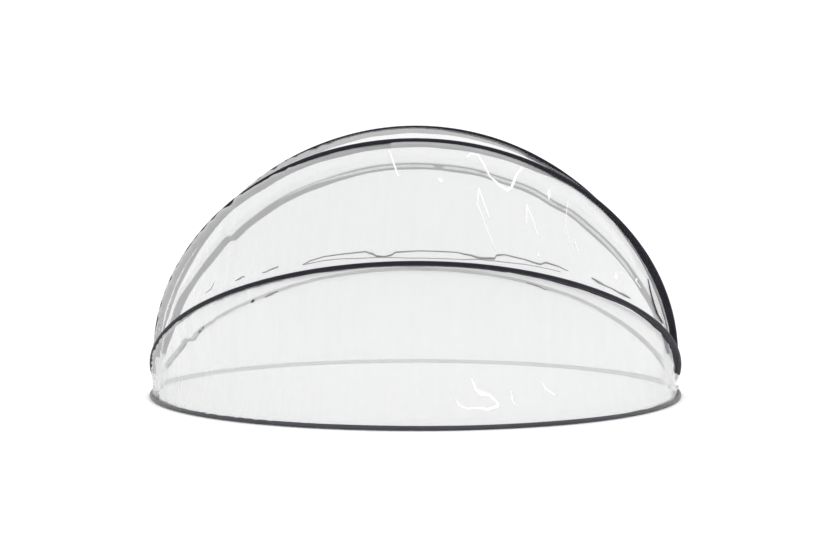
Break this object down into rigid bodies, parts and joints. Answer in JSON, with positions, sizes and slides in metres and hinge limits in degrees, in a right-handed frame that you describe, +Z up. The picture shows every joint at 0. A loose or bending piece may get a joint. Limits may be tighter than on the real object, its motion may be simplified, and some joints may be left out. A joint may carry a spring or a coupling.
{
  "type": "folding clear dome cover",
  "caption": "Clear film dome on half-round bows that hinge at two ground hubs and fold open to the rear, as a cover for a round pool or spa.",
  "frame": {"origin": "on the ground under the middle of the dome's box", "axes": "+Z up, -Y to the front where the dome opens, X along the hinge axis"},
  "size_m": [4.0778, 4.0519, 2.0382],
  "materials": {
    "film": "gloss",
    "sleeve": "satin",
    "tube": "satin",
    "fitting": "satin",
    "hub": "satin",
    "bolt": "satin"
  },
  "bodies": {
    "base": {"rear_base_bow_tube": "tube", "rear_base_bow_sleeve": "sleeve", "rear_base_bow_end_fitting_left": "fitting", "rear_base_bow_end_fitting_right": "fitting", "film_panel_6": "film", "hub_foot_left": "hub", "hinge_bolt_left": "bolt", "hinge_nut_left": "bolt", "hinge_spacer_left_1": "fitting", "hinge_spacer_left_2": "fitting", "hinge_spacer_left_3": "fitting", "hinge_spacer_left_4": "fitting", "hinge_spacer_left_5": "fitting", "hinge_spacer_left_6": "fitting", "hub_foot_right": "hub", "hinge_bolt_right": "bolt", "hinge_nut_right": "bolt", "hinge_spacer_right_1": "fitting", "hinge_spacer_right_2": "fitting", "hinge_spacer_right_3": "fitting", "hinge_spacer_right_4": "fitting", "hinge_spacer_right_5": "fitting", "hinge_spacer_right_6": "fitting"},
    "bow_5": {"bow_5_tube": "tube", "bow_5_sleeve": "sleeve", "bow_5_end_fitting_left": "fitting", "bow_5_end_fitting_right": "fitting", "film_panel_5": "film"},
    "bow_4": {"bow_4_tube": "tube", "bow_4_sleeve": "sleeve", "bow_4_end_fitting_left": "fitting", "bow_4_end_fitting_right": "fitting", "film_panel_4": "film"},
    "bow_3": {"bow_3_tube": "tube", "bow_3_sleeve": "sleeve", "bow_3_end_fitting_left": "fitting", "bow_3_end_fitting_right": "fitting", "film_panel_3": "film"},
    "bow_2": {"bow_2_tube": "tube", "bow_2_sleeve": "sleeve", "bow_2_end_fitting_left": "fitting", "bow_2_end_fitting_right": "fitting", "film_panel_2": "film"},
    "bow_1": {"bow_1_tube": "tube", "bow_1_sleeve": "sleeve", "bow_1_end_fitting_left": "fitting", "bow_1_end_fitting_right": "fitting", "film_panel_1": "film"},
    "front_bow": {"front_base_bow_tube": "tube", "front_base_bow_sleeve": "sleeve", "front_base_bow_end_fitting_left": "fitting", "front_base_bow_end_fitting_right": "fitting"}
  },
  "joints": [
    {"name": "bow_5_fold", "type": "hinge", "parent": "base", "child": "bow_5", "pos_m": [0, -0.0209, 0.016], "axis": [-1, 0, 0], "range_deg": [0, 18.9]},
    {"name": "bow_4_fold", "type": "hinge", "parent": "bow_5", "child": "bow_4", "pos_m": [0, -0.0209, 0.016], "axis": [-1, 0, 0], "range_deg": [0, 28.5]},
    {"name": "bow_3_fold", "type": "hinge", "parent": "bow_4", "child": "bow_3", "pos_m": [0, -0.0209, 0.016], "axis": [-1, 0, 0], "range_deg": [0, 14.5]},
    {"name": "bow_2_fold", "type": "hinge", "parent": "bow_3", "child": "bow_2", "pos_m": [0, -0.0209, 0.016], "axis": [-1, 0, 0], "range_deg": [0, 27.9]},
    {"name": "bow_1_fold", "type": "hinge", "parent": "bow_2", "child": "bow_1", "pos_m": [0, -0.0209, 0.016], "axis": [-1, 0, 0], "range_deg": [0, 26.4]},
    {"name": "front_bow_fold", "type": "hinge", "parent": "bow_1", "child": "front_bow", "pos_m": [0, -0.0209, 0.016], "axis": [-1, 0, 0], "range_deg": [0, 21.8]}
  ]
}
